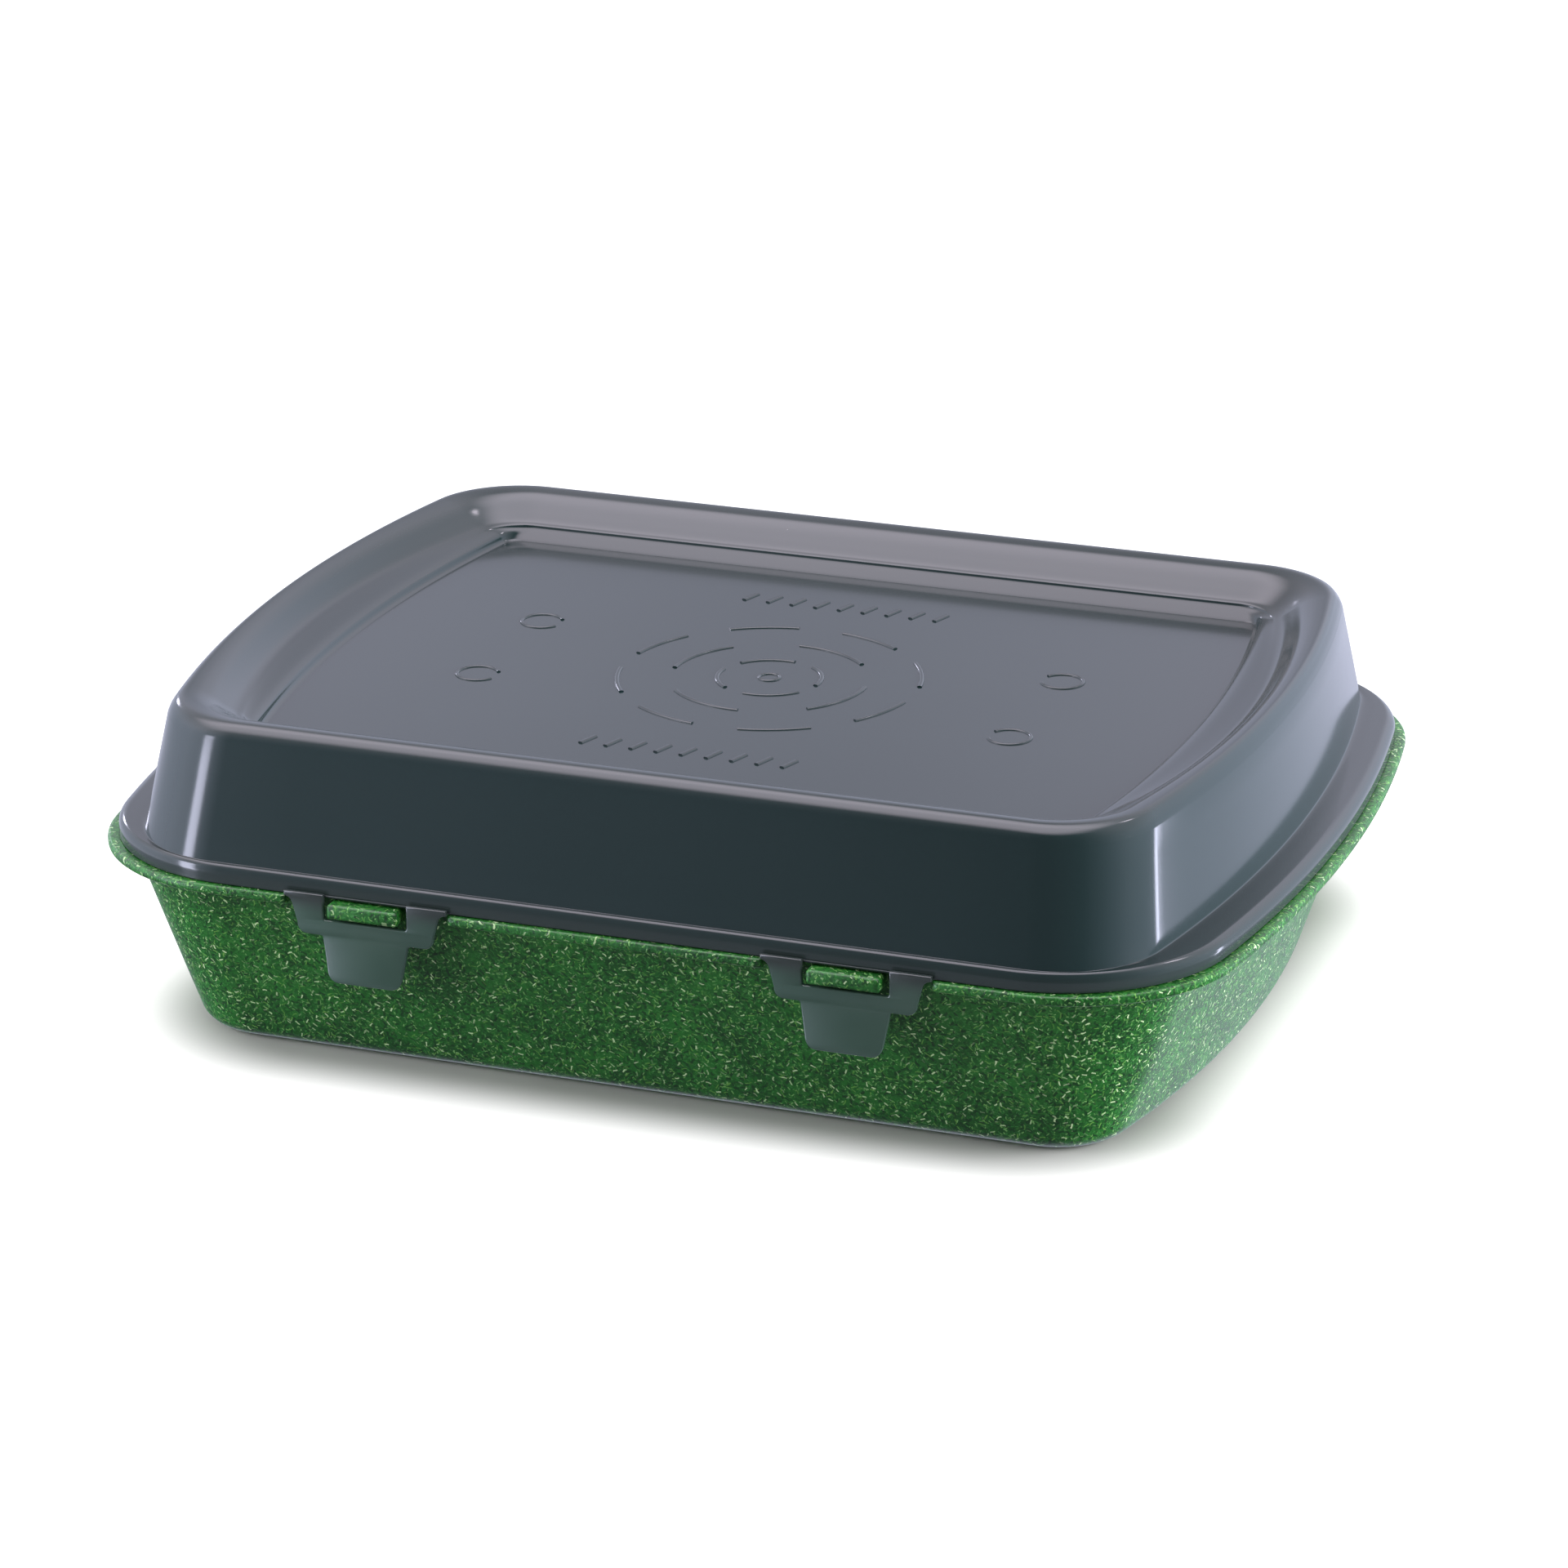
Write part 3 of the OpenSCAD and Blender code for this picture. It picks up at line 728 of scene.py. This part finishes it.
def flap_mesh(name, centre_x, rear):
    flap = bmesh.new()
    outline = [flap.verts.new((x, 0, z)) for x, z in flap_outline()]
    front = flap.faces.new(outline)
    body = bmesh.ops.extrude_face_region(flap, geom=[front])
    for v in [g for g in body["geom"] if isinstance(g, bmesh.types.BMVert)]:
        v.co.y += FLAP_THICK
    bmesh.ops.recalc_face_normals(flap, faces=flap.faces)
    rims = [e for e in flap.edges if abs(e.verts[0].co.y - e.verts[1].co.y) < 1e-6]
    bmesh.ops.bevel(flap, geom=rims, offset=0.3, segments=3, profile=0.5, affect="EDGES",
                    clamp_overlap=True)
    # Level cuts let the flat flap follow its lean as a curve.
    for i in range(1, FLAP_BANDS):
        z = TIP_Z + (HINGE_Z - TIP_Z) * i / FLAP_BANDS
        bmesh.ops.bisect_plane(flap, geom=list(flap.verts) + list(flap.edges) + list(flap.faces),
                               plane_co=(0, 0, z), plane_no=(0, 0, 1), dist=1e-5)
    for v in flap.verts:
        v.co.y += -HINGE_Y - FLAP_THICK / 2 - flap_lean(v.co.z)
        v.co.x += centre_x
        if rear:
            v.co.x, v.co.y = -v.co.x, -v.co.y
        v.co *= MM
    mesh = bpy.data.meshes.new(name)
    flap.to_mesh(mesh)
    flap.free()
    mesh.shade_smooth()
    mesh.set_sharp_from_angle(angle=math.radians(40))
    piece = bpy.data.objects.new(name, mesh)
    scene.collection.objects.link(piece)
    return piece


latch_finish = Finish("clear_grey_plastic", Roughness=0.3, IOR=1.5)
x, y, z = (Number(latch_finish, out) for out in
           latch_finish.node("SeparateXYZ", None, Vector=latch_finish.place).outputs)
latch_cloud = latch_finish.noise(60, 2, 0.5, seed=4.0)
latch_grain = latch_finish.noise(1400, 2, 0.5, seed=5.0)
# The green is painted: it stands in for the green tray seen through the clear flap. Towards the top,
# above the tray's rim, it turns to the flap's own grey.
grey_and_painted_green = latch_finish.mix(latch_cloud.between(0.3, 0.7),
                        (0.048, 0.092, 0.076, 1), (0.058, 0.106, 0.088, 1))
grey_and_painted_green = latch_finish.mix(z.between(0.0345, 0.0385) * 0.9, grey_and_painted_green, (0.042, 0.050, 0.054, 1))
latch_finish.feed(latch_finish.shader.inputs["Base Color"], grey_and_painted_green)
latch_finish.feed(latch_finish.shader.inputs["Roughness"], 0.18 + latch_grain * 0.05)
latch_finish.feed(latch_finish.shader.inputs["Normal"],
                  latch_finish.bumped(latch_grain, 0.00002, 0.35))
for latch, centre_x, rear in (("front_left_latch", -LATCH_X, False),
                              ("front_right_latch", LATCH_X, False),
                              ("rear_left_latch", LATCH_X, True),
                              ("rear_right_latch", -LATCH_X, True)):
    flap = flap_mesh(latch + "_flap", centre_x, rear)
    flap.data.materials.append(latch_finish.material)
    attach(flap, latch + "_body")
    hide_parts(latch)


# Bending strips. The thin webs between the lid's edge and the legs of each latch. They are
# of the lid's plastic and stay with the lid as the latches swing.
web = rounded_block("one_web", (-STRAP_HALF - 1.7, -HINGE_Y + 0.42, HINGE_Z - 0.18),
                    (STRAP_HALF + 1.7, -EDGE[1] + 0.6, HINGE_Z + 0.18), 0.12, 3)
webs = four_copies.made("bending_strips", Shape=web, Spacing=2 * LATCH_X * MM,
                        Material=lid_finish.material)
bpy.data.objects.remove(web)
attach(webs, "lid_body")


# Floor. A plain white sheet. For the camera it glows clear white away from the box; the glow fades to
# nothing near the box's foot, which paints shade in a band round the foot, where the box's real soft
# shadow also falls.
floor_mesh = bpy.data.meshes.new("floor")
floor_mesh.from_pydata([(-6, -6, 0), (6, -6, 0), (6, 6, 0), (-6, 6, 0)], [], [(0, 1, 2, 3)])
floor = bpy.data.objects.new("floor", floor_mesh)
scene.collection.objects.link(floor)
floor_finish = Finish("white_sheet", Roughness=0.9)
floor_finish.shader.inputs["Base Color"].default_value = (0.45, 0.45, 0.45, 1)
floor_finish.shader.inputs["Specular IOR Level"].default_value = 0.0
# How far a spot is from the outline of the box's foot: an oblong with rounded corners.
beyond = floor_finish.vector("ABSOLUTE", floor_finish.place)
beyond = floor_finish.vector("SUBTRACT", beyond, (0.068, 0.052, 0))
beyond = floor_finish.vector("MAXIMUM", beyond, (0, 0, 0))
away = floor_finish.vector("LENGTH", beyond) - 0.024
seen = Number(floor_finish, floor_finish.node("LightPath").outputs["Is Camera Ray"])
floor_finish.shader.inputs["Emission Color"].default_value = (1, 1, 1, 1)
# The camera-only glow, faded out near the foot, is painted shade round the box over its real shadow.
floor_finish.feed(floor_finish.shader.inputs["Emission Strength"],
                  seen * away.between(0.002, 0.026))
floor.visible_glossy = False
floor.data.materials.append(floor_finish.material)


# Light. Soft boxes overhead, at the left and at the right, and a plain bright room. The box
# mirrors a light tent: dim in front, white behind, brighter overhead, with two narrow strips.
def soft_box(name, place, target, width, height, brightness):
    data = bpy.data.lights.new(name, "AREA")
    data.shape, data.size, data.size_y = "RECTANGLE", width, height
    data.energy = brightness * math.pi * width * height
    box = bpy.data.objects.new(name, data)
    box.location = place
    box.rotation_mode = "QUATERNION"
    box.rotation_quaternion = (Vector(target) - Vector(place)).to_track_quat("-Z", "Y")
    box.visible_glossy = False
    scene.collection.objects.link(box)


soft_box("top_box", (-0.1, 0.15, 1.1), (0, 0, 0.04), 0.9, 0.7, 2.2)
soft_box("right_box", (0.90, 0.10, 0.26), (0, 0, 0.02), 0.6, 0.5, 16.0)
soft_box("left_box", (-0.55, -0.30, 0.22), (-0.05, 0, 0.03), 0.35, 0.35, 9.0)

world = bpy.data.worlds.new("surroundings")
scene.world = world
world.use_nodes = True
world.node_tree.nodes.clear()
# Round the tent at the height of the box: degrees from +X towards +Y, and brightness.
TENT = ((-180, 1.7), (-165, 2.0), (-150, 1.9), (-143, 1.6), (-133, 1.3), (-125, 0.95),
        (-115, 0.42), (-106, 0.15), (-90, 0.12), (-50, 0.12), (-30, 0.35), (-11, 0.7), (8, 1.0),
        (35, 1.22), (60, 1.2), (75, 1.22), (90, 1.18), (101, 0.95), (110, 0.63), (122, 0.9),
        (150, 1.1), (165, 1.3), (180, 1.7))
TENT_PEAK = 2.0
STRIP = 13.0
OVERHEAD = 5.2
LOW_FRONT, UNDERFOOT, LOW_RIGHT = 0.45, 0.2, 1.0
ROOM = 0.3


class Tent(Finish):
    """The same node helpers for the surroundings."""

    def __init__(self, tree):
        self.tree = tree
        self.place = self.node("TexCoord").outputs["Generated"]


tent = Tent(world.node_tree)
x, y, z = (Number(tent, out) for out in tent.node("SeparateXYZ", None, Vector=tent.place).outputs)
azimuth = y.math("ARCTAN2", x) * (180 / math.pi)
height = z.math("ARCSINE") * (180 / math.pi)
ring = tent.node("ValToRGB", dict(stops=[(a / 360 + 0.5, (b / TENT_PEAK,) * 3) for a, b in TENT]),
                 Fac=azimuth / 360 + 0.5)
ring = tent.node("SeparateColor", None, Color=ring.outputs["Color"])
tent_ring = Number(tent, ring.outputs["Red"]) * TENT_PEAK
tent_ring = tent_ring * (1 + height.between(-5, 25) * 0.35)
right_strip = azimuth.between(38.4, 39.4) * azimuth.between(44.0, 43.0) * height.between(3, -1)
left_strip = azimuth.between(-145, -142) * azimuth.between(-131, -134) * height.between(14, 9)
strips = right_strip + left_strip
for spot in ((0.374, 0.477, 0.796), (-0.70, 0.661, 0.27)):
    towards = tent.vector("DOT_PRODUCT", tent.place, Vector(spot).normalized())
    strips = strips + towards.between(0.9962, 0.9986)
towards = tent.vector("DOT_PRODUCT", tent.place, Vector((-0.2, -0.02, 0.98)).normalized())
overhead = towards.between(0.72, 0.93)
mirrored = tent_ring * (1 - strips) + strips * STRIP
mirrored = mirrored * (1 - overhead) + overhead * OVERHEAD
below = height.between(-15.5, -22)
mirrored = mirrored * (1 - below) + below * LOW_FRONT
below = height.between(-23, -30)
low_right = azimuth.between(40, 75) * azimuth.between(145, 120) * LOW_RIGHT
mirrored = mirrored * (1 - below) + below * (UNDERFOOT + low_right)
paths = tent.node("LightPath")
camera_ray = Number(tent, paths.outputs["Is Camera Ray"])
glossy_ray = Number(tent, paths.outputs["Is Glossy Ray"])
level = glossy_ray * mirrored + (1 - glossy_ray) * ROOM
level = camera_ray + (1 - camera_ray) * level
mirror_colour = tent.mix(height.between(0, 50), (0.93, 0.95, 1.20, 1), (1.0, 0.90, 1.03, 1))
colour = tent.mix(glossy_ray * (1 - camera_ray), (1, 1, 1, 1), mirror_colour)
glow = tent.node("Background", None, Strength=level, Color=colour)
tent.tree.links.new(glow.outputs[0], tent.node("OutputWorld").inputs[0])
